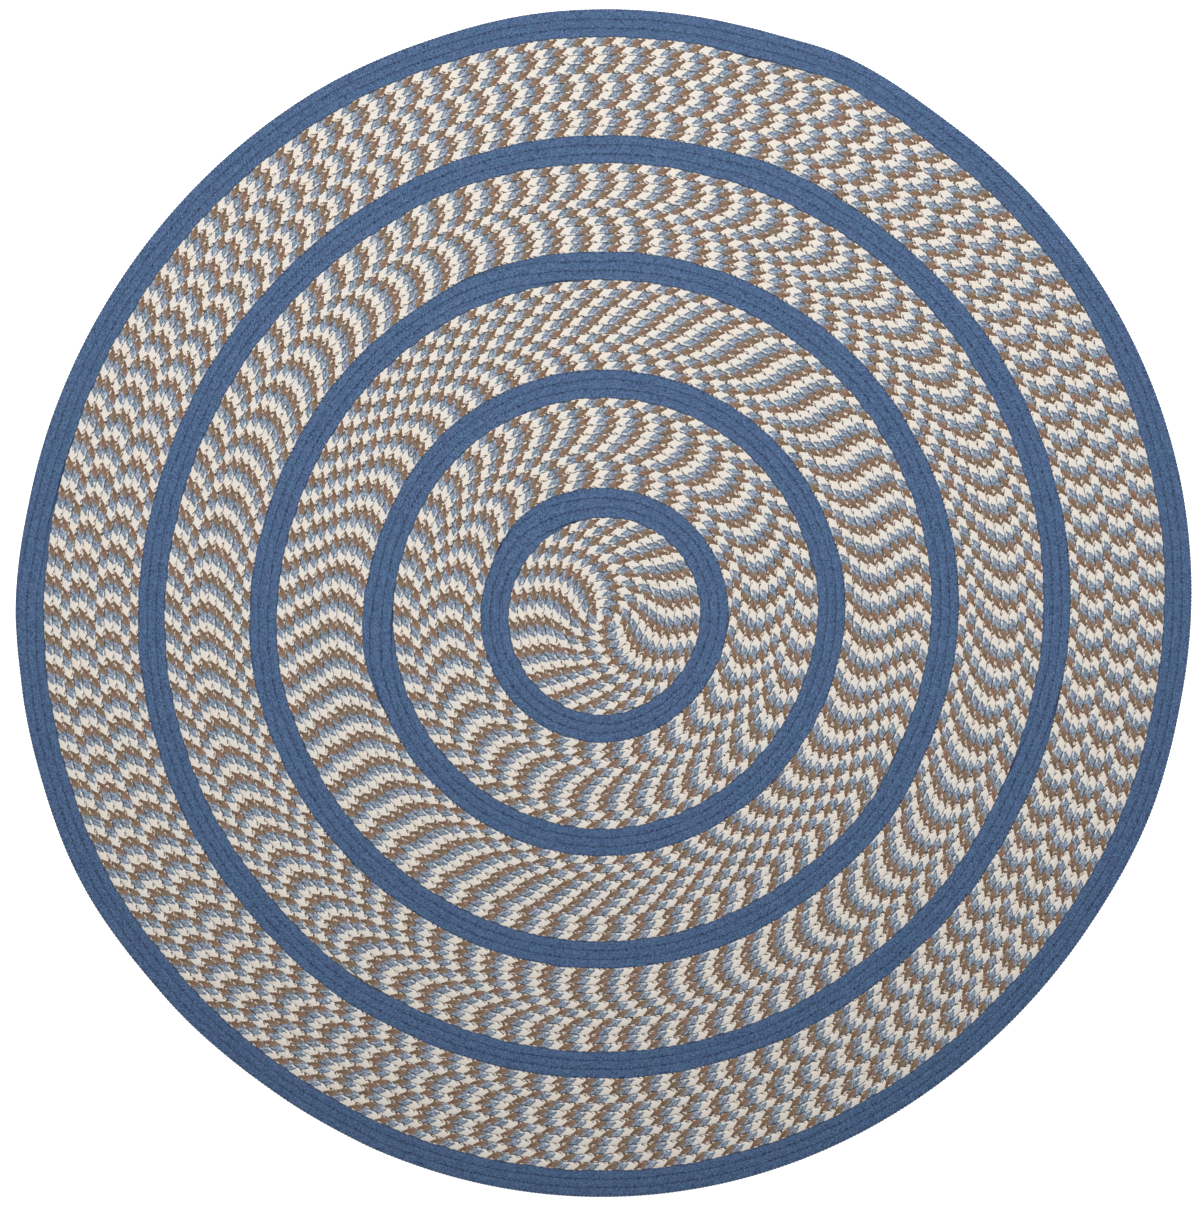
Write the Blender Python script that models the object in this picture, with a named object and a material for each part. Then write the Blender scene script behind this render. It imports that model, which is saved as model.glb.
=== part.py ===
# Round braided rug, about 1.83 m (6 ft) across, lying flat. Metres, +Z up.
# The origin is on the underside, at the middle of the rug's outline.
#
# The rug is wound outwards from its centre out of ten lengths of braid, each sewn to the one
# before: a mixed-colour centre, then blue rings and mixed bands in turn, and a blue border.
# Each length is one flat-bottomed ring. Its top has a rib for every turn of the braid.

import math

import bmesh
import bpy

THICKNESS = 0.010  # floor to the crest of a braid
GROOVE_DEPTH = 0.0026  # from a crest down to the laced seam between two turns
PIECE_GAP = 0.0003  # left between neighbouring lengths
SEGMENTS = 54  # straight runs that make up each turn

# The rug was wound by hand, so its outline is a little oval and a little four-sided, and its
# centre sits off the middle of the outline, towards -Y.
OVAL_SWELL = 0.0080
OVAL_AXIS = math.radians(67)
OVAL_GROWTH = 0.8  # how fast the oval builds up with the radius
SQUARE_SWELL = 0.0032
SQUARE_AXIS = math.radians(8)
SQUARE_GROWTH = 1.6
CENTRE_DRIFT = 0.0205
DRIFT_GROWTH = 1.5

# Where a length of braid ends, its tapered tail swells the turns outside it. The swelling is
# measured along the arc, and fades over the turns that follow.
TAIL_RISE = 0.190
TAIL_FALL = 0.110
TAIL_FADE = 0.310

# Hand-laid lumps in the outline: angle in degrees, height in metres
LUMPS = (
    (108, -0.0040),
    (208, 0.0050),
    (235, -0.0045),
    (338, 0.0044),
)
LUMP_HALF_WIDTH = math.radians(13)
LUMP_GROWTH = 4  # the lumps build up towards the rim

# The rounded outer edge of the border's last turn
RIM_FOOT_INSET = 0.0030
RIM_BULGE_HEIGHT = 0.0045
RIM_SHOULDER_INSET = 0.0020
RIM_SHOULDER_HEIGHT = 0.0082

MIXED = (0.50, 0.47, 0.45, 1.0)  # ivory, pale blue and brown seen together
BLUE = (0.075, 0.142, 0.305, 1.0)
WOOL_ROUGHNESS = 0.92

# From the centre outwards: node name, turns of braid, width of one turn in metres, colour,
# angle in degrees where the length's tail ends, how far the tail swells the edge in metres
LENGTHS = (
    ("centre_mixed", 11, 0.0137, MIXED, 268, 0.0031),
    ("ring1_blue", 3, 0.0144, BLUE, 130, 0.0075),
    ("band1_mixed", 10, 0.0137, MIXED, 7, 0.0037),
    ("ring2_blue", 3, 0.0142, BLUE, 191, 0.0064),
    ("band2_mixed", 10, 0.0136, MIXED, 325, 0.0053),
    ("ring3_blue", 3, 0.0141, BLUE, 110, 0.0047),
    ("band3_mixed", 10, 0.0133, MIXED, 236, 0.0053),
    ("ring4_blue", 3, 0.0138, BLUE, 69, 0.0040),
    ("band4_mixed", 11, 0.0134, MIXED, 66, 0.0066),
    ("border_blue", 3, 0.0135, BLUE, 181, 0.0044),
)
RUG_RADIUS = sum(row[1] * row[2] for row in LENGTHS)


def smooth_step(share):
    share = min(max(share, 0.0), 1.0)
    return share * share * (3 - 2 * share)


def turn_from(angle, start):
    """Angle from start to angle, between -pi and pi."""
    return (angle - start + math.pi) % (2 * math.pi) - math.pi


def tail_swell(radius, angle):
    """How far the tails of the lengths inside this radius push the turn outwards."""
    swell = 0.0
    edge = 0.0
    for _, turns, width, _, end_angle, height in LENGTHS:
        edge += turns * width
        if edge - radius > turns * width:
            break
        along = edge * turn_from(angle, math.radians(end_angle))
        side = 1 + along / TAIL_RISE if along < 0 else 1 - along / TAIL_FALL
        inside = smooth_step(1 - (edge - radius) / (turns * width))
        fade = math.exp(-max(radius - edge, 0.0) / TAIL_FADE)
        swell += height * smooth_step(side) * inside * fade
    return swell


def lump_swell(share, angle):
    swell = 0.0
    for lump_angle, height in LUMPS:
        away = abs(turn_from(angle, math.radians(lump_angle))) / LUMP_HALF_WIDTH
        swell += height * smooth_step(1 - away)
    return swell * share**LUMP_GROWTH


def uneven_circle(radius):
    """Points of one turn at this mean radius, before the outline is centred."""
    share = radius / RUG_RADIUS
    drift = CENTRE_DRIFT * (1 - share**DRIFT_GROWTH)
    points = []
    for step in range(SEGMENTS):
        angle = 2 * math.pi * step / SEGMENTS
        reach = radius + tail_swell(radius, angle) + lump_swell(share, angle)
        reach += OVAL_SWELL * share**OVAL_GROWTH * math.cos(2 * (angle - OVAL_AXIS))
        reach += SQUARE_SWELL * share**SQUARE_GROWTH * math.cos(4 * (angle - SQUARE_AXIS))
        points.append((reach * math.cos(angle), reach * math.sin(angle) - drift))
    return points


def outline_middle():
    """Middle of the box around the rug's outline, which becomes the origin."""
    xs, ys = zip(*uneven_circle(RUG_RADIUS))
    return (min(xs) + max(xs)) / 2, (min(ys) + max(ys)) / 2


def ribbed_top(inner, turns, width):
    """(radius, height) from the inner edge outwards: a groove, then crest and groove per turn."""
    groove = THICKNESS - GROOVE_DEPTH
    top = [(inner, groove)]
    for turn in range(turns):
        top.append((inner + (turn + 0.5) * width, THICKNESS))
        top.append((inner + (turn + 1) * width, groove))
    return top


def cross_section(inner, turns, width):
    """Closed profile of one length as (radius, height), inner foot last."""
    outer = inner + turns * width
    profile = ribbed_top(inner, turns, width)
    if inner > 0:
        profile[0] = (inner + PIECE_GAP / 2, profile[0][1])
    if outer < RUG_RADIUS - PIECE_GAP:
        profile[-1] = (outer - PIECE_GAP / 2, profile[-1][1])
        profile.append((outer - PIECE_GAP / 2, 0.0))
    else:
        profile[-1] = (outer - RIM_SHOULDER_INSET, RIM_SHOULDER_HEIGHT)
        profile.append((outer, RIM_BULGE_HEIGHT))
        profile.append((outer - RIM_FOOT_INSET, 0.0))
    profile.append((profile[0][0], 0.0))
    return profile


def wound_ring(name, profile, middle):
    """Carries the profile round the centre. A radius of 0 is a single point on the axis."""
    shape = bmesh.new()
    loops = []
    for radius, height in profile:
        around = uneven_circle(radius) if radius > 0 else [(0.0, -CENTRE_DRIFT)]
        loops.append([shape.verts.new((x - middle[0], y - middle[1], height)) for x, y in around])
    for start, end in zip(loops, loops[1:] + loops[:1]):
        if len(start) == len(end) == 1:
            continue
        for step in range(SEGMENTS):
            following = (step + 1) % SEGMENTS
            if len(start) == 1:
                corners = (start[0], end[step], end[following])
            elif len(end) == 1:
                corners = (start[step], end[0], start[following])
            else:
                corners = (start[step], end[step], end[following], start[following])
            shape.faces.new(corners)
    bmesh.ops.recalc_face_normals(shape, faces=shape.faces)
    mesh = bpy.data.meshes.new(name)
    shape.to_mesh(mesh)
    shape.free()
    mesh.shade_smooth()
    mesh.set_sharp_from_angle(angle=math.radians(50))
    return mesh


def braid_material(name, colour):
    material = bpy.data.materials.new(name + "_braid")
    material.use_nodes = True
    shader = material.node_tree.nodes["Principled BSDF"]
    shader.inputs["Base Color"].default_value = colour
    shader.inputs["Roughness"].default_value = WOOL_ROUGHNESS
    shader.inputs["Metallic"].default_value = 0.0
    material.diffuse_color = colour
    return material


def main():
    for old in list(bpy.data.objects):
        bpy.data.objects.remove(old, do_unlink=True)
    middle = outline_middle()
    inner = 0.0
    for name, turns, width, colour, _, _ in LENGTHS:
        mesh = wound_ring(name, cross_section(inner, turns, width), middle)
        mesh.materials.append(braid_material(name, colour))
        length = bpy.data.objects.new(name, mesh)
        bpy.context.scene.collection.objects.link(length)
        inner += turns * width


main()
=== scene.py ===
import math

import bpy
import numpy as np
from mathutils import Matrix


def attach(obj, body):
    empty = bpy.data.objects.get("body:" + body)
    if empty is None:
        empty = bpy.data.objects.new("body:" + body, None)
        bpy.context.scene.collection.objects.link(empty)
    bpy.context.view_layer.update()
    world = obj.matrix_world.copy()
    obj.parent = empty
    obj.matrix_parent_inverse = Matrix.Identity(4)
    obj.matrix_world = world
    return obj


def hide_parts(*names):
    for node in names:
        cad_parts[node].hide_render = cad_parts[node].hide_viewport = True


# Round braided rug, laid flat on a pale floor and seen from straight above.
# Ten lengths of braid are wound outwards and laced edge to edge: mixed braid (ivory, brown and
# pale blue strands) and plain blue braid in turn. Metres, +Z up.

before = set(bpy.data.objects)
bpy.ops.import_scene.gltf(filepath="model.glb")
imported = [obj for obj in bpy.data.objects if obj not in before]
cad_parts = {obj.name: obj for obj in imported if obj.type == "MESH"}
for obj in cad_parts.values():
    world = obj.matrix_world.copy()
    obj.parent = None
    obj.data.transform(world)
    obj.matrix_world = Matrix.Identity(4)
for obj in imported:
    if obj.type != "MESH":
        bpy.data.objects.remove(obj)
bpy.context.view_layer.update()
print("frame loaded:", len(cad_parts), "lengths of braid")

fullTurn = 2 * math.pi

# the rug's uneven roundness, the same as its solids have; axes and lumps in degrees. Each growth
# is the power of the share of the rug's radius by which an unevenness grows outwards
rugShape = {
    "thickness": 0.0100,
    "ovalSwell": 0.0080, "ovalAxis": 67, "ovalGrowth": 0.8,
    "squareSwell": 0.0032, "squareAxis": 8, "squareGrowth": 1.6,
    "centreDrift": 0.0205, "driftGrowth": 1.5,  # the centre sits this far towards -Y
    "tailRise": 0.190, "tailFall": 0.110, "tailFade": 0.310,  # how far a tail's swelling reaches
    "lumps": ((108, -0.0040), (208, 0.0050), (235, -0.0045), (338, 0.0044)),  # angle and height
    "lumpHalfWidth": 13, "lumpGrowth": 4,
    "outlinePoints": 54,
}

# from the centre outwards; step from and step to are the angles between which every turn of the
# length moves out by one place, as its first turn starts and its last one tapers off
braidColumns = ("node", "turns", "pitch", "tailAngle", "tailSwell", "stepFrom", "stepTo", "parts")
braidRows = (
    ("centre_mixed", 11, 0.0137, 268, 0.0031, 250, 300, 3),
    ("ring1_blue", 3, 0.0144, 130, 0.0075, 95, 160, 1),
    ("band1_mixed", 10, 0.0137, 7, 0.0037, 350, 382, 3),
    ("ring2_blue", 3, 0.0142, 191, 0.0064, 172, 212, 1),
    ("band2_mixed", 10, 0.0136, 325, 0.0053, 305, 340, 4),
    ("ring3_blue", 3, 0.0141, 110, 0.0047, 90, 118, 1),
    ("band3_mixed", 10, 0.0133, 236, 0.0053, 220, 244, 3),
    ("ring4_blue", 3, 0.0138, 69, 0.0040, 334, 353, 1),
    ("band4_mixed", 11, 0.0134, 66, 0.0066, 53, 80, 4),
    ("border_blue", 3, 0.0135, 181, 0.0044, 160, 190, 2),
)
lengths = [dict(zip(braidColumns, row)) for row in braidRows]

# how far into its repeat of colours each mixed length starts, and the length of one repeat in mm
# at even steps along it. All of these come from a least-squares fit to the repeats in the photo
colourRun = {
    "centre_mixed": (0.20, (43.94, 44.69, 44.27)),
    "band1_mixed": (0.84, (44.16, 45.05, 45.03, 45.63)),
    "band2_mixed": (0.89, (45.11, 45.18, 45.18, 44.86, 45.92)),
    "band3_mixed": (0.55, (45.73, 45.56, 45.67)),
    "band4_mixed": (0.31, (45.16, 45.77)),
}

# one braid: where its strands cross, how it is pressed, and how uneven a hand-laid one is
braidForm = {
    "repeat": 0.0454,  # one white, one brown and one pale blue strand on top
    "whiteShare": 0.37, "brownShare": 0.29,
    "slant": 0.20,  # part of a repeat by which the outer edge lags behind the inner one
    "windStep": 0.001,  # radians from point to point of a winding's middle line
    "leastBend": 2,  # pitches: near the eye a turn leans as if it were no tighter than this
    "leastWidth": 0.00001,
    "topPoints": 7,
    # the top falls by this much to the seam, late and steeply
    "edgeDrop": 0.0010, "blueEdgeDrop": 0.00014, "crownPower": 4.5,
    "wallRoundness": 0.2, "rimRoundness": 0.78,  # 1 is an ellipse, 0 a box
    "underAngles": (-58, -122), "rimUnderAngles": (-25, -58, -122, -155),
    "touchGap": 0.00003,  # half the gap to the next turn where a strand lies against it
    "crossingInset": 0.00013, "crossingDip": 0.00030,  # drawn in and sunk where strands cross
    "middleDip": 0.00015, "dipPlace": 0.64, "dipWidth": 0.12,
    "tipWidth": 0.07,  # share of the full width at which a taper ends
    "tipThicken": 1.7,
    "partGap": 0.0001,
    "lobeStations": 4, "centreLobeStations": 7,  # cross-sections on each strand
    "blueStations": 9, "borderStations": 15, "stationPlace": 0.26,  # cross-sections in one repeat
    "seamBead": 0.00010, "rimBead": 0.00080,  # every second cross-section is this much narrower
    # the rug's free edge, which no lacing pulls in, bulges outwards and shows no seam
    "rimSwell": 0.0024, "rimPlace": 0.85,
    "flatWidth": 0.0200,  # pressed flat, before the lacing draws the braid up
    "wander": 0.0005,  # how far a seam strays from its place
    "crestWander": 0.0002, "crestWanderMost": 2,  # low crests sink by this, up to so many times
    "calmCentre": 0.05, "calmRim": 0.01,  # the seams wander less within this of centre and rim
    "wanderWaves": 14, "wavesAround": (6, 60), "wavesOutwards": (-150, 150), "seed": 41,
}


def smoothStep(share):
    # 3s^2 - 2s^3, held at 0 and 1 outside the step
    share = np.clip(share, 0, 1)
    return share * share * (3 - 2 * share)


def turnFrom(angle, start):
    # the angle's distance from a start, between minus and plus half a turn
    return (angle - start + math.pi) % fullTurn - math.pi


def tailSwell(radius, angle):
    # every tail inside this radius adds its height, times a rise and fall along the arc,
    # times a fade outwards
    swell = np.zeros_like(radius)
    edge = 0.0
    for length in lengths:
        deep = length["turns"] * length["pitch"]
        edge += deep
        along = edge * turnFrom(angle, math.radians(length["tailAngle"]))
        side = 1 + np.where(along < 0, along / rugShape["tailRise"], -along / rugShape["tailFall"])
        inside = smoothStep(1 - (edge - radius) / deep)
        fade = np.exp(-np.maximum(radius - edge, 0) / rugShape["tailFade"])
        swell += length["tailSwell"] * smoothStep(side) * inside * fade
    return swell


rugRadius = sum(length["turns"] * length["pitch"] for length in lengths)


def unevenCircle(radius, angle):
    # reach = radius + tails + lumps + an oval and a square wave that grow outwards;
    # x and y are the reach at this angle, with the centre moved towards -Y
    share = radius / rugRadius
    reach = radius + tailSwell(radius, angle)
    for lumpAngle, height in rugShape["lumps"]:
        away = abs(turnFrom(angle, math.radians(lumpAngle)))
        lump = smoothStep(1 - away / math.radians(rugShape["lumpHalfWidth"]))
        reach += height * lump * share ** rugShape["lumpGrowth"]
    oval = np.cos(2 * (angle - math.radians(rugShape["ovalAxis"])))
    square = np.cos(4 * (angle - math.radians(rugShape["squareAxis"])))
    reach += rugShape["ovalSwell"] * share ** rugShape["ovalGrowth"] * oval
    reach += rugShape["squareSwell"] * share ** rugShape["squareGrowth"] * square
    drift = rugShape["centreDrift"] * (1 - share ** rugShape["driftGrowth"])
    return reach * np.cos(angle), reach * np.sin(angle) - drift


def outlineMiddle():
    # the middle of the box round the outline, at the points that the solids' outline has
    angle = np.arange(rugShape["outlinePoints"]) * fullTurn / rugShape["outlinePoints"]
    x, y = unevenCircle(np.full(angle.shape, rugRadius), angle)
    return (x.min() + x.max()) / 2, (y.min() + y.max()) / 2


rugMiddle = outlineMiddle()
draw = np.random.default_rng(braidForm["seed"])
waveTable = {
    "around": draw.integers(*braidForm["wavesAround"], braidForm["wanderWaves"]),
    "outwards": draw.uniform(*braidForm["wavesOutwards"], braidForm["wanderWaves"]),
    "start": dict(zip(("seam", "crest"), draw.uniform(0, fullTurn, (2, braidForm["wanderWaves"])))),
}


def wander(radius, angle, which):
    # sine waves that run round the rug and outwards, each from its own start, added up and
    # divided by the root of their number
    total = np.zeros_like(radius)
    for around, outwards, start in zip(
        waveTable["around"], waveTable["outwards"], waveTable["start"][which]
    ):
        total += np.sin(around * angle + outwards * radius + start)
    return total / math.sqrt(len(waveTable["around"]))


def seamPoint(radius, angle):
    # a point of the seam between two turns, wandering less near the centre and the rim
    calm = np.clip(radius / braidForm["calmCentre"], 0, 1)
    calm = calm * np.clip((rugRadius - radius) / braidForm["calmRim"], 0, 1)
    laid = radius + braidForm["wander"] * calm * wander(radius, angle, "seam")
    x, y = unevenCircle(laid, angle)
    return np.stack((x - rugMiddle[0], y - rugMiddle[1]), axis=-1)


def placesAt(length, theta):
    # how many turns lie inside this one's inner and outer edge after winding by theta:
    # whole turns, plus a smooth step of one while the winding passes the step zone
    zone = math.radians(length["stepTo"] - length["stepFrom"])
    stepped = np.floor(theta / fullTurn) + smoothStep((theta % fullTurn) / zone)
    return np.clip(stepped - 1, 0, length["turns"]), np.clip(stepped, 0, length["turns"])


def windLength(length, innerRadius):
    # the middle line of a length, closely spaced, with its arc length and its place in the
    # repeat of colours (the arc length divided by the local repeat, added up). The last stretch
    # of each taper, too thin to show, is left out
    zone = math.radians(length["stepTo"] - length["stepFrom"])
    theta = np.arange(0, fullTurn * length["turns"] + zone, braidForm["windStep"])
    inside, outside = placesAt(length, theta)
    middle = innerRadius + length["pitch"] * (inside + outside) / 2
    line = np.stack(unevenCircle(middle, math.radians(length["stepFrom"]) + theta), axis=-1)
    steps = np.hypot(*np.diff(line, axis=0).T)
    arc = np.concatenate(([0.0], np.cumsum(steps)))
    start, repeats = colourRun.get(length["node"], (0.0, (1000 * braidForm["repeat"],) * 2))
    knots = np.linspace(0, arc[-1], len(repeats))
    rate = 1000 / np.interp(arc, knots, repeats)
    phase = start + np.concatenate(([0.0], np.cumsum((rate[1:] + rate[:-1]) / 2 * steps)))
    whole = np.flatnonzero(outside - inside > braidForm["tipWidth"])
    theta, arc, phase = (values[whole] for values in (theta, arc, phase))
    arc = arc - arc[0]
    bend = np.gradient(arc, theta)  # the radius at which the winding bends
    return {"theta": theta, "arc": arc, "phase": phase, "bend": bend, "inner": innerRadius}


def strandStations(count):
    # phases of the cross-sections within one repeat: evenly spaced on each strand
    white, brown = braidForm["whiteShare"], braidForm["brownShare"]
    edges = np.array((0, white, white + brown, 1)) - white / 2
    return np.concatenate([
        np.linspace(start, end, count, endpoint=False) for start, end in zip(edges, edges[1:])
    ])


def lobeHeight(phase):
    # over each strand a half sine, flattened by a square root; 0 where two strands cross
    white, brown = braidForm["whiteShare"], braidForm["brownShare"]
    share = (phase + white / 2) % 1
    place = np.interp(share, (0, white, white + brown, 1), (0, 1, 2, 3))
    return np.sqrt(np.abs(np.sin(math.pi * place)))


def sectionShape(length):
    # points from the inner edge over the top to the outer edge, and back underneath; across runs
    # from -1 to 1 and up from 0 to 1. Superellipse: cosine and sine of the angle, each to a power.
    # Pressed: a box with soft lower corners, whose top falls by a power of the distance across
    underAngles = braidForm["rimUnderAngles" if "border" in length["node"] else "underAngles"]
    turn = np.radians(np.concatenate((np.linspace(180, 0, braidForm["topPoints"]), underAngles)))
    cosine, sine = np.cos(turn), np.sin(turn)
    onTop = np.arange(len(turn)) < braidForm["topPoints"]

    def superellipse(power):
        across = np.sign(cosine) * np.abs(cosine) ** power
        return across, (1 + np.sign(sine) * np.abs(sine) ** power) / 2

    roundAcross, roundUp = superellipse(braidForm["rimRoundness"])
    wallAcross, wallUp = superellipse(braidForm["wallRoundness"])
    drop = braidForm["edgeDrop" if "mixed" in length["node"] else "blueEdgeDrop"]
    fall = drop / rugShape["thickness"] * np.abs(cosine) ** braidForm["crownPower"]
    pressedAcross = np.where(onTop, cosine, wallAcross)
    pressedUp = np.where(onTop, 1 - fall, wallUp)
    pressedUp -= np.where(onTop, 0, pressedUp.min())
    return onTop, (pressedAcross, pressedUp), (roundAcross, roundUp)


def blueStations(length):
    # how many cross-sections a repeat of blue braid has; the border has one on each yarn
    return braidForm["borderStations" if "border" in length["node"] else "blueStations"]


def braidSurface(length, path, theta, phase):
    # grid of points: one row for each cross-section, one column for each point of the section.
    # Each row leans along the strands, so its outer end lies further back along the braid. A
    # point is the inner seam, plus its place across times the way to the outer seam, at a height
    # of the section's own, less the dips
    onTop, (across, up), (roundAcross, roundUp) = sectionShape(length)
    pitch, thickness = length["pitch"], rugShape["thickness"]
    bend = np.interp(theta, path["theta"], path["bend"])
    bend = np.maximum(bend, braidForm["leastBend"] * pitch)
    inside, outside = placesAt(length, theta)
    lean = braidForm["slant"] * braidForm["repeat"] * (outside - inside) / bend
    thetaGrid = theta[:, None] - lean[:, None] * across[None, :] / 2
    thetaGrid = np.clip(thetaGrid, path["theta"][0], path["theta"][-1])
    inside, outside = placesAt(length, thetaGrid)
    width = outside - inside
    spread = np.clip(width, 0, 1)
    angle = math.radians(length["stepFrom"]) + thetaGrid
    innerSeam = seamPoint(path["inner"] + pitch * inside, angle)
    outerSeam = seamPoint(path["inner"] + pitch * outside, angle)
    apart = np.hypot(*np.moveaxis(outerSeam - innerSeam, -1, 0))
    apart = np.maximum(apart, braidForm["leastWidth"])
    bead, rim = braidForm["seamBead"], np.zeros_like(width)
    if "border" in length["node"]:
        # the last turn's outer side is the rug's rim, which nothing presses
        rim = smoothStep(outside - (length["turns"] - 1)) * (across > 0)
        across = across + rim * (roundAcross - across)
        up = up + rim * (roundUp - up)
        bead = bead + rim * (braidForm["rimBead"] - bead)
    if "mixed" in length["node"]:
        crossing = 1 - lobeHeight(phase)[:, None]
        inset = crossing * braidForm["crossingInset"]
    else:
        crossing = np.zeros((len(phase), 1))
        inset = bead * (np.floor(phase * blueStations(length)) % 2)[:, None]
    drawnIn = braidForm["touchGap"] + inset * spread * (onTop | (bead > braidForm["seamBead"]))
    swell = rim * spread * braidForm["rimSwell"]
    place = 0.5 + across * (0.5 + (swell - drawnIn) / apart)
    flat = innerSeam + (outerSeam - innerSeam) * place[..., None]
    tall = thickness * np.sqrt(np.clip(braidForm["tipThicken"] * width, 0, 1))
    low = 1 - wander(path["inner"] + pitch * inside, angle, "crest")
    low = np.clip(low, 0, braidForm["crestWanderMost"])
    off = (place - braidForm["dipPlace"]) / braidForm["dipWidth"]
    sunk = crossing * braidForm["crossingDip"] + braidForm["middleDip"] * np.exp(-off * off)
    sunk = sunk + low * braidForm["crestWander"]
    height = tall * up - onTop * sunk * spread
    patternPlace = place - rim * np.maximum(place - braidForm["rimPlace"], 0)
    return np.dstack((flat, np.clip(height, 0, thickness))), patternPlace


# girth is in metres; what is hidden is squeezed, and margin and inset keep the strips apart
bakeMap = {
    "name": "OFBake", "margin": 0.04, "inset": 0.002, "girth": 0.0265, "squeeze": 0.3,
    "rimSteps": 2,  # points past the top that show on the border's rim
}


def sectionRun(length):
    # how far each section point lies round the braid, in widths of it, from 0 at the inner edge
    # over the top and back underneath. The steps past the top are hidden and squeezed, but for
    # the first ones down the border's rim
    border = "border" in length["node"]
    onTop, pressed, rounded = sectionShape(length)
    across, up = rounded if border else pressed
    closed = np.column_stack((across * length["pitch"] / 2, up * rugShape["thickness"]))
    closed = np.vstack((closed, closed[:1]))
    steps = np.hypot(*np.diff(closed, axis=0).T) / length["pitch"]
    seen = onTop.sum() - 1 + (bakeMap["rimSteps"] if border else 0)
    steps[seen:] *= bakeMap["squeeze"]
    return np.concatenate(([0.0], np.cumsum(steps)))


def tubeFaces(stations, around):
    # corners and first corners of the faces of a closed tube: quads between neighbouring
    # cross-sections, and at each end a fan to a middle point
    row = np.arange(stations - 1)[:, None] * around
    column = np.arange(around)[None, :]
    following = (column + 1) % around
    quads = np.stack(
        (row + column, row + following, row + around + following, row + around + column), axis=-1
    ).reshape(-1, 4)
    startTip, endTip = stations * around, stations * around + 1
    last = (stations - 1) * around
    ring, ringNext = column[0], following[0]
    startFan = np.column_stack((ringNext, ring, np.full(around, startTip)))
    endFan = np.column_stack((last + ring, last + ringNext, np.full(around, endTip)))
    corners = np.concatenate((quads.ravel(), startFan.ravel(), endFan.ravel()))
    starts = np.concatenate((
        np.arange(len(quads)) * 4, len(quads) * 4 + np.arange(2 * around) * 3
    ))
    return corners, starts


tipPattern = {"across": 0.5, "around": 0.3}  # where the middle points of the ends lie in the pattern


def putBraid(name, points, place, phase, run, length):
    # joins the grid into a closed tube with its pattern coordinates: the phase in the repeat of
    # colours, the place across the braid, and the way round its section
    stations, around = points.shape[:2]
    corners, starts = tubeFaces(stations, around)
    tips = np.stack((points[0].mean(axis=0), points[-1].mean(axis=0)))
    mesh = bpy.data.meshes.new(name)
    mesh.vertices.add(stations * around + 2)
    mesh.vertices.foreach_set("co", np.concatenate((points.reshape(-1, 3), tips)).ravel())
    mesh.loops.add(len(corners))
    mesh.loops.foreach_set("vertex_index", corners)
    mesh.polygons.add(len(starts))
    mesh.polygons.foreach_set("loop_start", starts)
    mesh.polygons.foreach_set("use_smooth", np.ones(len(starts), dtype=bool))
    mesh.update(calc_edges=True)
    girth = sectionRun(length)
    phaseGrid = np.broadcast_to(phase[:, None], place.shape)
    girthGrid = np.broadcast_to(girth[:-1], place.shape)
    weave = np.dstack((phaseGrid, place, girthGrid)).reshape(-1, 3)
    ends = np.array([(end, tipPattern["across"], tipPattern["around"]) for end in phase[[0, -1]]])
    attribute = mesh.attributes.new("weave", "FLOAT_VECTOR", "POINT")
    attribute.data.foreach_set("vector", np.concatenate((weave, ends)).ravel())
    layBakeMap(mesh, run, girth / girth[-1], stations)
    piece = bpy.data.objects.new(name, mesh)
    bpy.context.scene.collection.objects.link(piece)
    return piece


def layBakeMap(mesh, run, girth, stations):
    # the tube laid out as strips, one above the other, each with an equal share of the run:
    # u runs along a strip and v round the tube
    around = len(girth) - 1
    strips = max(1, round(math.sqrt(run / bakeMap["girth"])))
    perStrip = math.ceil((stations - 1) / strips)
    station = np.repeat(np.arange(stations - 1), around)
    strip = station // perStrip
    along = station - strip * perStrip
    column = np.tile(np.arange(around), stations - 1)
    margin, inset = bakeMap["margin"], bakeMap["inset"]
    low, high = (
        (strip + margin + (1 - 2 * margin) * girth[column + side]) / strips for side in (0, 1)
    )
    uSide = np.stack((along, along, along + 1, along + 1), axis=-1) / perStrip
    uSide = uSide * (1 - 2 * inset) + inset
    vSide = np.stack((low, high, high, low), axis=-1)
    quadMap = np.stack((uSide, vSide), axis=-1).reshape(-1, 2)
    # both end fans share one point at the start of the first strip
    fanMap = np.full((2 * around * 3, 2), 0.5 / strips)
    fanMap[:, 0] = inset / 2
    layer = mesh.uv_layers.new(name=bakeMap["name"])
    layer.uv.foreach_set("vector", np.concatenate((quadMap, fanMap)).ravel())


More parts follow.
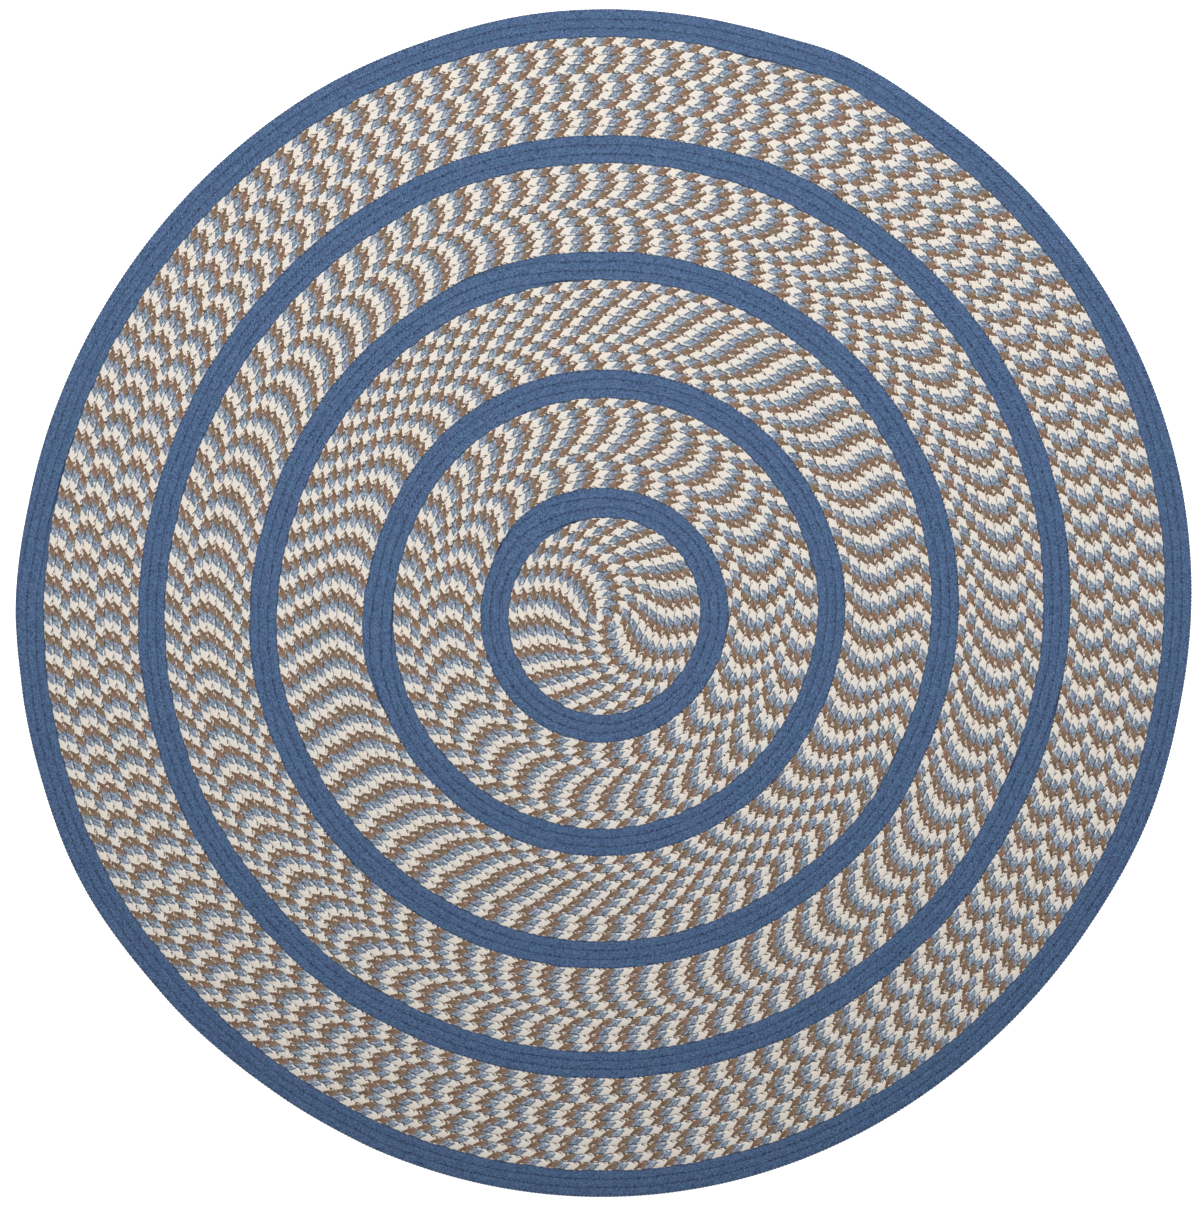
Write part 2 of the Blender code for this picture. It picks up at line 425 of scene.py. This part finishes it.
class Wire:
    # one output socket of a material; arithmetic on it adds Math nodes to the material

    def __init__(self, tree, socket=None):
        self.tree, self.socket = tree, socket

    def node(self, kind, settings=None, sockets=None, take=0):
        # adds a node: its settings first, then the values or links of its sockets. The setting
        # bends holds the points of a curve node's line
        made = self.tree.nodes.new(kind)
        for key, value in (settings or {}).items():
            if key == "bends":
                line = made.mapping.curves[0]
                while len(line.points) < len(value):
                    line.points.new(0.5, 0.5)
                for point, place in zip(line.points, value):
                    point.location = place
                made.mapping.update()
            else:
                setattr(made, key, value)
        for key, value in (sockets or {}).items():
            entry = made.inputs[key]
            if isinstance(value, Wire):
                self.tree.links.new(value.socket, entry)
            else:
                entry.default_value = value
        return Wire(self.tree, made.outputs[take])

    def math(self, operation, *others):
        values = dict(enumerate((self, *others)))
        return self.node("ShaderNodeMath", {"operation": operation}, values)

    def reflected(self, operation, first):
        return self.node("ShaderNodeMath", {"operation": operation}, {0: first, 1: self})

    def __add__(self, other):
        return self.math("ADD", other)

    def __radd__(self, other):
        return self.reflected("ADD", other)

    def __sub__(self, other):
        return self.math("SUBTRACT", other)

    def __rsub__(self, other):
        return self.reflected("SUBTRACT", other)

    def __mul__(self, other):
        return self.math("MULTIPLY", other)

    def __rmul__(self, other):
        return self.reflected("MULTIPLY", other)

    def __truediv__(self, other):
        return self.math("DIVIDE", other)

    def __rtruediv__(self, other):
        return self.reflected("DIVIDE", other)

    def part(self):
        return self.math("FRACT")

    def whole(self):
        return self.math("FLOOR")

    def size(self):
        return self.math("ABSOLUTE")

    def held(self):
        # kept between 0 and 1
        return self.node("ShaderNodeClamp", {}, {0: self})

    def past(self, edge, soft):
        # 0 before the edge and 1 after it, over a soft width; the other way where soft is negative
        return ((self - edge) / soft + 0.5).held()

    def hill(self, middle, width):
        # 1 at the middle, falling to 0 on both sides like a bell: 1 / (1 + d^4)
        away = (self - middle) / width
        square = away * away
        return 1 / (square * square + 1)

    def spot(self, leaned, halfLong, halfWide, soft):
        # 1 inside an ellipse and 0 outside it, of two distances from its middle
        long, wide = self / halfLong, leaned / halfWide
        return (1 + 1 / soft - (long * long + wide * wide) / soft).held()

    def along(self, bends):
        # the height at this wire of a smooth line through some (place, height) pairs
        return self.node("ShaderNodeFloatCurve", {"bends": bends}, {"Value": self})

    def blend(self, start, end):
        # a colour between start and end, by this wire; a mix node takes its colours at 6 and 7
        # and gives one at 2
        sockets = {0: self, 6: start, 7: end}
        return self.node("ShaderNodeMix", {"data_type": "RGBA"}, sockets, 2)

    def shade(self, amount):
        # this colour times a number
        factor = amount.point(amount, amount)
        settings = {"data_type": "RGBA", "blend_type": "MULTIPLY"}
        return self.node("ShaderNodeMix", settings, {0: 1.0, 6: self, 7: factor}, 2)

    def point(self, y, z):
        return self.node("ShaderNodeCombineXYZ", {}, {0: self, 1: y, 2: z})

    def grain(self, detail):
        # noise at this point
        sockets = {"Vector": self, "Scale": 1.0, "Detail": detail}
        return self.node("ShaderNodeTexNoise", {}, sockets)

    def chance(self, seed):
        # one random number for each whole number that comes in
        return self.node("ShaderNodeTexWhiteNoise", {"noise_dimensions": "1D"}, {"W": self + seed})


def startCloth(name, look):
    # a cloth material with its constant values, and its colours ready for the sockets
    material = bpy.data.materials.new(name)
    material.use_nodes = True
    shader = material.node_tree.nodes["Principled BSDF"]
    shader.inputs["Roughness"].default_value = look["roughness"]
    shader.inputs["Sheen Weight"].default_value = look["sheen"]
    shader.inputs["Sheen Roughness"].default_value = look["sheenRoughness"]
    shader.inputs["Specular IOR Level"].default_value = look["shine"]
    return material, shader, {name: (*value, 1) for name, value in look["tints"].items()}


def finishCloth(material, shader, colour, height, rise):
    # colour to the surface, height in units of rise (metres) to its bump
    wire = Wire(material.node_tree)
    bumped = wire.node("ShaderNodeBump", {}, {"Height": height, "Distance": rise, "Strength": 1.0})
    material.node_tree.links.new(colour.socket, shader.inputs["Base Color"])
    material.node_tree.links.new(bumped.socket, shader.inputs["Normal"])


# one repeat of the mixed braid, read off an average of the photo's repeats that a program lined up,
# and adjusted to match it: along runs in repeats from the middle of the white strand, across from
# the inner edge (0) to the outer edge (1)
mixedChart = {
    "lead": 0.30,  # the edges below are measured from this far before the white strand's middle
    "blueLead": 0.10,  # pale blue strands are counted from this far past the white one's middle
    "edgeColumns": ("across", "white", "brown", "blue"),
    "edges": (
        (0.00, 0.24, 0.53, 0.87),
        (0.06, 0.20, 0.53, 0.875),
        (0.12, 0.185, 0.53, 0.88),
        (0.18, 0.205, 0.55, 0.885),
        (0.25, 0.245, 0.58, 0.89),
        (0.33, 0.25, 0.575, 0.89),
        (0.41, 0.22, 0.55, 0.885),
        (0.53, 0.17, 0.51, 0.85),
        (0.66, 0.16, 0.48, 0.825),
        (0.72, 0.14, 0.45, 0.81),
        (0.78, 0.09, 0.415, 0.775),
        (0.84, 0.085, 0.435, 0.77),
        (0.91, 0.075, 0.43, 0.75),
        (1.00, 0.16, 0.49, 0.735),
    ),
    # what peeps through between the yarns, and painted shade in the seams and along strand edges:
    # middle, half length and width, lean, yarn (for painted shade, the shade's tint) and strength
    "spotColumns": ("along", "across", "halfLong", "halfWide", "lean", "yarn", "strength"),
    "spots": (
        (-0.44, 0.68, 0.030, 0.20, -0.34, "bluePale", 0.70),
        (-0.25, 0.66, 0.025, 0.18, -0.30, "bluePale", 0.55),
        (-0.33, 0.32, 0.045, 0.10, -0.10, "bluePale", 0.45),
        (-0.35, 0.64, 0.028, 0.15, -0.20, "blueDark", 0.90),
        # painted shade along the pale blue strand's edge beside the white one
        (-0.16, 0.53, 0.025, 0.27, -0.36, "navy", 0.45),
        (-0.20, 0.15, 0.048, 0.09, 0.00, "whiteCool", 1.00),
        # more painted shade along the same edge, lower down
        (-0.12, 0.36, 0.030, 0.08, -0.20, "navy", 0.40),
        # painted shade in the seam above the row, in navy here and in the three shadow spots below
        (-0.50, 0.96, 0.070, 0.06, 0.00, "navy", 0.90),
        (-0.36, 0.94, 0.070, 0.08, 0.00, "shadow", 0.95),
        (-0.24, 0.98, 0.050, 0.04, 0.00, "shadow", 0.80),
        (-0.02, 0.99, 0.070, 0.06, 0.00, "shadow", 1.00),
        (0.115, 0.10, 0.032, 0.12, 0.37, "shadow", 1.00),
        # painted shade in the brown strand beside the white one
        (0.160, 0.86, 0.032, 0.07, 0.30, "brownDark", 1.00),
        (0.260, 0.60, 0.022, 0.20, -0.34, "brownDark", 0.60),
        (0.455, 0.58, 0.030, 0.26, -0.40, "greyPink", 0.50),
        (0.290, 0.73, 0.032, 0.06, 0.00, "brownDark", 0.80),
        (0.295, 0.95, 0.060, 0.135, 0.00, "whiteWarm", 1.00),
        (0.270, 0.09, 0.034, 0.07, 0.00, "brownDark", 1.00),
        (0.370, 0.05, 0.038, 0.07, 0.00, "whiteWarm", 1.00),
        (0.470, 0.15, 0.032, 0.05, 0.00, "greyPink", 0.70),
        (0.600, 0.35, 0.030, 0.14, -0.20, "shadow", 0.60),
        (0.540, 0.05, 0.050, 0.05, 0.00, "shadow", 0.50),
    ),
    "spotSoft": 0.6, "spotRagged": 0.18,
    "spotChance": 0.9, "spotLeast": 0.55, "spotSeed": 50,  # spots come and go with the repeats
}

# how far the yarns of both braids run back along the braid, at places across it
yarnBias = (
    (0.0, 0.48), (0.12, 0.487), (0.28, 0.487), (0.50, 0.438), (0.66, 0.392), (0.78, 0.354),
    (0.88, 0.335), (1.0, 0.345),
)

# both braids have 15 yarns in a repeat, 5 to a strand. Flecks and stitches are grains on a yarn:
# how much they change in a width round it, from yarn to yarn, across one, and by its own chance
yarnForm = {
    "yarns": 15, "firstYarn": 0.026, "twist": 8, "stitches": 8.5,
    "fleckNext": 2.37, "fleckAcross": 0.9, "fleckOwn": 5, "fleckDetail": 1.5,
    "stitchNext": 5.13, "stitchAcross": 1.6, "stitchOwn": 7, "stitchDetail": 1.0,
}

# seeds that keep one kind of chance apart from another
chanceSeeds = {
    "yarn": 2.7, "white": 6.1, "brown": 7.7, "blue": 8.3, "blueLight": 3.3, "dot": 4.4, "stray": 9.2,
}


def weaveWires(material):
    # run along the braid, in repeats, square to its edge; place across it; way round it, in widths
    start = Wire(material.node_tree)
    weave = start.node("ShaderNodeAttribute", {"attribute_name": "weave"}, {}, "Vector")
    node = weave.node("ShaderNodeSeparateXYZ", {}, {0: weave}).socket.node
    run, across, around = (Wire(material.node_tree, output) for output in node.outputs)
    return run - (across - 0.5) * braidForm["slant"], across, around


def yarnWires(yarnRun, around, flecks):
    # yarns lie side by side along the run: the place across one, its round back, the twist of its
    # plies, and two grains of fleck, which change from yarn to yarn and along each one
    form = yarnForm
    line = (yarnRun + form["firstYarn"]) * form["yarns"]
    number, inside = line.whole(), line.part() - 0.5
    own = number.chance(chanceSeeds["yarn"])
    back = 1 - inside * inside * 4
    ply = ((around * form["twist"] + inside + own).part() - 0.5).size() * 2
    fleckRun = number * form["fleckNext"] + inside * form["fleckAcross"]
    fleck = fleckRun.point(around * flecks, own * form["fleckOwn"]).grain(form["fleckDetail"])
    stitchRun = number * form["stitchNext"] + inside * form["stitchAcross"]
    stitch = stitchRun.point(around * form["stitches"], own * form["stitchOwn"])
    return inside, back, ply, fleck, stitch.grain(form["stitchDetail"])


def patches(run, around, manyAlong, manyAround, seed, detail):
    # noise over the whole braid, with so many patches in a repeat and in a width round it
    return (run * manyAlong).point(around * manyAround, seed).grain(detail)


# a pair after the name of a fleck is the grain past which it shows, and over how much of the grain
# it comes in; coarse, fine and tone are patches along and around, a seed and a detail
mixedYarn = {
    "tints": {
        "whiteWarm": (0.810, 0.715, 0.620), "whiteCool": (0.755, 0.730, 0.680),
        "brown": (0.222, 0.142, 0.091), "brownRed": (0.268, 0.137, 0.090),
        # the dark brown tint is the yarn's own dark flecks, and painted shade in one chart spot beside
        # the white strand
        "brownOlive": (0.192, 0.136, 0.080), "brownDark": (0.072, 0.048, 0.033),
        "brownLight": (0.340, 0.225, 0.142), "greyPink": (0.380, 0.320, 0.290),
        "blueDark": (0.085, 0.131, 0.208), "bluePale": (0.480, 0.522, 0.580),
        "blueViolet": (0.232, 0.270, 0.392), "blueTeal": (0.194, 0.290, 0.368),
        # navy and shadow are painted shade only, in the chart's seams and along strand edges
        "navy": (0.070, 0.090, 0.130), "shadow": (0.085, 0.075, 0.066),
    },
    "hold": 0.75,  # a yarn keeps its colour over this much of its width
    "edgeSofts": {"white": 0.035, "brown": 0.016, "blue": 0.050},
    "ragged": 0.14, "raggedFleck": 0.6, "raggedStitch": 0.4, "raggedCoarse": 0.06,
    "flecks": 6.5, "coarse": (11, 3.2, 0.7, 1.0), "fine": (60, 18, 9.1, 1.0),
    # how warm the white is: by the repeat's chance, by fleck and along the strand
    "warmChance": 0.6, "warmFleck": 0.5, "warmAlong": 1.2, "warmLess": 0.46,
    "plainBrown": (0.52, 0.3), "lightBrown": (0.665, 0.07), "darkBrown": (0.355, -0.07),
    "brownByFleck": 1.2, "brownLeast": 0.40,
    "plainBlue": (0.47, 0.16), "paleBlue": (0.565, 0.09), "paleFleck": 0.4, "paleStitch": 0.6,
    "blueChance": 0.24, "blueLeast": 0.88,
    "light": 1.015, "backLight": 0.08, "plyLight": 0.07, "fineLight": 0.12,
    "backRise": 0.8, "plyRise": 0.25, "fineRise": 0.25, "rise": 0.0006,
    "roughness": 0.75, "shine": 0.30, "sheen": 0.05, "sheenRoughness": 0.5,
}


def spotMasks(place, repeat, across, stitch):
    # each spot's tint, a peeping yarn's or a painted shade's, and its mask: an ellipse that leans,
    # ragged by the stitches
    roughAcross = across + (stitch - 0.5) * mixedChart["spotRagged"]
    for row in mixedChart["spots"]:
        spot = dict(zip(mixedChart["spotColumns"], row))
        wide = roughAcross - spot["across"]
        long = (place - (spot["along"] + mixedChart["lead"] - 0.5) % 1).part() - 0.5
        mask = (long - wide * spot["lean"]).spot(
            wide, spot["halfLong"], spot["halfWide"], mixedChart["spotSoft"]
        )
        chance = repeat.chance(spot["along"] + mixedChart["spotSeed"] * spot["across"])
        showing = (chance * mixedChart["spotChance"] + mixedChart["spotLeast"]).held()
        yield spot["yarn"], mask * showing * spot["strength"]


def mixedBraidCloth():
    # three strands that take turns on top, each begun where its charted edge says; then what peeps
    # through between the yarns, painted shade in the seams and along strand edges, and the yarns' own
    # flecks
    look = mixedYarn
    material, shader, tint = startCloth("mixed_braid", look)
    run, across, around = weaveWires(material)
    yarnRun = run - across.along(yarnBias)
    inside, back, ply, fleck, stitch = yarnWires(yarnRun, around, look["flecks"])
    coarse = patches(yarnRun, around, *look["coarse"])
    fine = patches(run, around, *look["fine"])

    held = inside * (look["hold"] / yarnForm["yarns"])
    jitter = (fleck * look["raggedFleck"] + stitch * look["raggedStitch"] - 0.5) * look["ragged"]
    jitter = jitter + (coarse - 0.5) * look["raggedCoarse"]
    charted = run - held + jitter + mixedChart["lead"]
    place, repeat = charted.part(), charted.whole()
    blueRepeat = (run - mixedChart["blueLead"]).whole()
    edgeAt = dict(zip(mixedChart["edgeColumns"], zip(*mixedChart["edges"])))
    whiteOn, brownOn, blueOn = (
        place.past(across.along(tuple(zip(edgeAt["across"], edgeAt[strand]))), soft)
        for strand, soft in look["edgeSofts"].items()
    )

    warm = repeat.chance(chanceSeeds["white"]) * look["warmChance"] + fleck * look["warmFleck"]
    warm = (warm + place * look["warmAlong"] - look["warmLess"]).held()
    white = warm.blend(tint["whiteCool"], tint["whiteWarm"])
    brown = repeat.chance(chanceSeeds["brown"]).blend(tint["brownRed"], tint["brownOlive"])
    brown = coarse.past(*look["plainBrown"]).blend(brown, tint["brown"])
    brown = brown.shade(fleck * look["brownByFleck"] + look["brownLeast"])
    brown = stitch.past(*look["lightBrown"]).blend(brown, tint["brownLight"])
    brown = stitch.past(*look["darkBrown"]).blend(brown, tint["brownDark"])
    blue = blueRepeat.chance(chanceSeeds["blue"]).blend(tint["blueViolet"], tint["blueTeal"])
    blue = fleck.past(*look["plainBlue"]).blend(tint["blueDark"], blue)
    pale = fleck * look["paleFleck"] + stitch * look["paleStitch"]
    blue = pale.past(*look["paleBlue"]).blend(blue, tint["bluePale"])
    blueLight = blueRepeat.chance(chanceSeeds["blueLight"]) * look["blueChance"]
    blue = blue.shade(blueLight + look["blueLeast"])

    colour = whiteOn.blend(blue, white)
    colour = brownOn.blend(colour, brown)
    colour = blueOn.blend(colour, blue)
    # spots of peeping yarn, and of painted shade in the seams and along strand edges
    for yarn, mask in spotMasks(place, repeat, across, stitch):
        colour = mask.blend(colour, tint[yarn])

    light = look["light"] + back * look["backLight"]
    light = light + (ply - 0.5) * look["plyLight"] + (fine - 0.5) * look["fineLight"]
    height = back * look["backRise"] + ply * look["plyRise"] + fine * look["fineRise"]
    finishCloth(material, shader, colour.shade(light), height, look["rise"])
    return material


blueYarn = {
    "tints": {
        "base": (0.0420, 0.0960, 0.2190), "violet": (0.0560, 0.0860, 0.2210),
        # the darkest blue is the yarns' own dark flecks, and the colour of the painted shade in the seam
        # dots
        "teal": (0.0310, 0.1070, 0.1990), "dark": (0.0110, 0.0330, 0.1010),
        "pale": (0.1160, 0.2000, 0.3500),
    },
    "flecks": 5.2, "fine": (34, 11, 5.2, 1.0), "tone": (1.7, 0.9, 7.1, 2.0),
    "tealTone": (0.5, 0.35), "plainFleck": (0.50, 0.5),
    # the mottle that turns a yarn pale or dark; its share from the yarn's round back is painted light,
    # paler along the middle of each yarn
    "mottleFleck": 0.45, "mottleBackLight": 0.06, "mottleFine": 0.25, "mottleStitch": 0.30,
    "paleMottle": (0.585, 0.15), "darkMottle": (0.470, -0.12),
    # dots of painted shade in the seam: how many in a repeat, how uneven, how long, how often and how
    # strong, how far they stray across, and how wide they are beside the outer and the inner seam
    "dots": 6, "dotDrift": 3, "dotHalf": 0.21, "dotChance": 1.4, "dotLeast": 0.05,
    "dotStray": 0.12, "outerDot": 0.12, "innerDot": 0.09, "innerStrength": 0.7,
    "dotShadeTint": 0.95, "dotShade": 0.45,
    "light": 0.965, "backLight": 0.12,
    "backRise": 0.8, "plyRise": 0.25, "fineRise": 0.3, "dotSink": 0.5, "rise": 0.0006,
    "roughness": 0.7, "shine": 0.45, "sheen": 0.05, "sheenRoughness": 0.5,
}


def blueBraidCloth():
    # plain blue yarns that lean across the middle of the braid and straighten at its edges,
    # mottled where plies turn up or under, with dots of painted shade in the seam where strands cross
    look = blueYarn
    material, shader, tint = startCloth("blue_braid", look)
    run, across, around = weaveWires(material)
    yarnRun = run - across.along(yarnBias)
    back, ply, fleck, stitch = yarnWires(yarnRun, around, look["flecks"])[1:]
    fine = patches(run, around, *look["fine"])
    tone = patches(run, around, *look["tone"])

    colour = tone.past(*look["tealTone"]).blend(tint["violet"], tint["teal"])
    colour = fleck.past(*look["plainFleck"]).blend(colour, tint["base"])
    # the round back's share of the mottle is painted light on each yarn's crown
    mottle = fleck * look["mottleFleck"] + back * look["mottleBackLight"]
    mottle = mottle + fine * look["mottleFine"] + stitch * look["mottleStitch"]
    colour = mottle.past(*look["paleMottle"]).blend(colour, tint["pale"])
    colour = mottle.past(*look["darkMottle"]).blend(colour, tint["dark"])

    # dots of painted shade in the seam: darker in colour, dimmer in light, and sunk in the bump
    beat = run * look["dots"] + tone * look["dotDrift"]
    number = beat.whole()
    strength = (number.chance(chanceSeeds["dot"]) * look["dotChance"] + look["dotLeast"]).held()
    dot = beat.part().hill(0.5, look["dotHalf"]) * strength
    strayed = across + (number.chance(chanceSeeds["stray"]) - 0.5) * look["dotStray"]
    seam = strayed.hill(1.0, look["outerDot"]) * dot
    seam = seam + strayed.hill(0.0, look["innerDot"]) * dot * look["innerStrength"]
    colour = (seam * look["dotShadeTint"]).blend(colour, tint["dark"])

    light = (look["light"] + back * look["backLight"]) * (1 - seam * look["dotShade"])
    height = back * look["backRise"] + ply * look["plyRise"] + fine * look["fineRise"]
    height = height - seam * look["dotSink"]
    finishCloth(material, shader, colour.shade(light), height, look["rise"])
    return material


def cutStations(length, path):
    # theta and phase of every cross-section of a length
    firstPhase, lastPhase = path["phase"][[0, -1]]
    if "mixed" in length["node"]:
        centre = "centre" in length["node"]
        within = strandStations(braidForm["centreLobeStations" if centre else "lobeStations"])
        repeats = np.arange(math.floor(firstPhase) - 1, math.ceil(lastPhase) + 1)
        phase = (repeats[:, None] + within[None, :]).ravel()
        phase = phase[(phase > firstPhase) & (phase < lastPhase)]
    else:
        count = blueStations(length)
        number = np.arange(math.ceil(firstPhase * count), math.floor(lastPhase * count))
        phase = (number + braidForm["stationPlace"]) / count
    phase = np.concatenate((path["phase"][:1], phase, path["phase"][-1:]))
    return np.interp(phase, path["phase"], path["theta"]), phase


def makeLength(length, innerRadius, cloth, slotName):
    # winds one length and cuts it into pieces of equal run, a hair apart
    path = windLength(length, innerRadius)
    theta, phase = cutStations(length, path)
    cuts = np.linspace(0, len(theta) - 1, length["parts"] + 1).round().astype(int)
    for number, (first, last) in enumerate(zip(cuts, cuts[1:]), start=1):
        pieceTheta, piecePhase = theta[first:last + 1].copy(), phase[first:last + 1]
        bend = np.interp(pieceTheta[[0, -1]], path["theta"], path["bend"])
        pieceTheta[[0, -1]] += np.array((1, -1)) * braidForm["partGap"] / 2 / bend
        points, place = braidSurface(length, path, pieceTheta, piecePhase)
        startRun, endRun = np.interp(pieceTheta[[0, -1]], path["theta"], path["arc"])
        name = length["node"].replace("_", "_braid_") + f"_{number}"
        piece = putBraid(name, points, place, piecePhase, endRun - startRun, length)
        piece.data.materials.append(cloth)
        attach(piece, "root")
        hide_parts(length["node"])
    print(f"{length['node']}: {path['arc'][-1]:.1f} m of braid in {length['parts']} pieces")


# the floor lies a hair below the rug; its glow begins round the rug and comes in softly
floorLook = {"half": 60.0, "drop": 0.0003, "tone": 0.9, "glow": 0.80, "glowFrom": 0.89, "glowSoft": 0.02}


def makeFloor():
    material = bpy.data.materials.new("pale_floor")
    material.use_nodes = True
    shader = material.node_tree.nodes["Principled BSDF"]
    tone = floorLook["tone"]
    shader.inputs["Base Color"].default_value = (tone, tone, tone, 1)
    shader.inputs["Roughness"].default_value = 1.0
    shader.inputs["Specular IOR Level"].default_value = 0.0
    # a glow that keeps the floor near white in the picture, and stays out from under the rug
    place = Wire(material.node_tree).node("ShaderNodeTexCoord", take="Object")
    fromMiddle = place.node("ShaderNodeVectorMath", {"operation": "LENGTH"}, {0: place}, "Value")
    outside = fromMiddle.past(floorLook["glowFrom"], floorLook["glowSoft"])
    glow = outside.blend((0, 0, 0, 1), (1, 1, 1, 1))
    material.node_tree.links.new(glow.socket, shader.inputs["Emission Color"])
    shader.inputs["Emission Strength"].default_value = floorLook["glow"]
    half, level = floorLook["half"], -floorLook["drop"]
    mesh = bpy.data.meshes.new("floor")
    corners = [(half * x, half * y, level) for x, y in ((-1, -1), (1, -1), (1, 1), (-1, 1))]
    mesh.from_pydata(corners, [], [(0, 1, 2, 3)])
    mesh.materials.append(material)
    floor = bpy.data.objects.new("floor", mesh)
    bpy.context.scene.collection.objects.link(floor)


# a wide softbox overhead, a little towards +Y, and an even pale sky
studio = {
    "softboxWide": 4.6, "softboxDeep": 2.6, "softboxHeight": 3.0, "softboxShift": 1.08,
    "softboxPower": 123, "skyStrength": 0.26,
}


def lightStudio():
    lamp = bpy.data.lights.new("overhead_softbox", "AREA")
    lamp.shape = "RECTANGLE"
    lamp.size, lamp.size_y = studio["softboxWide"], studio["softboxDeep"]
    lamp.energy = studio["softboxPower"]
    overhead = bpy.data.objects.new("overhead_softbox", lamp)
    overhead.location = (0, studio["softboxShift"], studio["softboxHeight"])
    bpy.context.scene.collection.objects.link(overhead)
    world = bpy.data.worlds.new("studio_sky")
    world.use_nodes = True
    background = world.node_tree.nodes["Background"]
    background.inputs["Color"].default_value = (1, 1, 1, 1)
    background.inputs["Strength"].default_value = studio["skyStrength"]
    bpy.context.scene.world = world
    bpy.context.scene.view_settings.view_transform = "Standard"


# the picture is 1200 by 1211 pixels, 1.5553 mm of floor to a pixel, with the middle of the rug's
# outline at pixel (603, 603)
picture = {
    "wide": 1200, "high": 1211, "scale": 0.0015553, "middle": (603, 603),
    "lens": 85, "sensor": 36,
    "level": 0.008,  # height of the plane that fills the picture
}


def placeCamera():
    # distance = picture height times lens over sensor, because the picture's long side is its height
    camera = bpy.data.cameras.new("camera")
    camera.lens, camera.sensor_width = picture["lens"], picture["sensor"]
    tall = picture["high"] * picture["scale"]
    holder = bpy.data.objects.new("camera", camera)
    holder.location = (
        (picture["wide"] / 2 - picture["middle"][0]) * picture["scale"],
        (picture["middle"][1] - picture["high"] / 2) * picture["scale"],
        picture["level"] + tall * picture["lens"] / picture["sensor"],
    )
    bpy.context.scene.collection.objects.link(holder)
    bpy.context.scene.camera = holder


clothOf = {"mixed": mixedBraidCloth(), "blue": blueBraidCloth()}
print("cloth ready")
innerRadius = 0.0
for length in lengths:
    kind = length["node"].split("_")[1]
    makeLength(length, innerRadius, clothOf[kind], kind + "_braid")
    innerRadius += length["turns"] * length["pitch"]
makeFloor()
lightStudio()
placeCamera()
print("floor, light and camera placed")
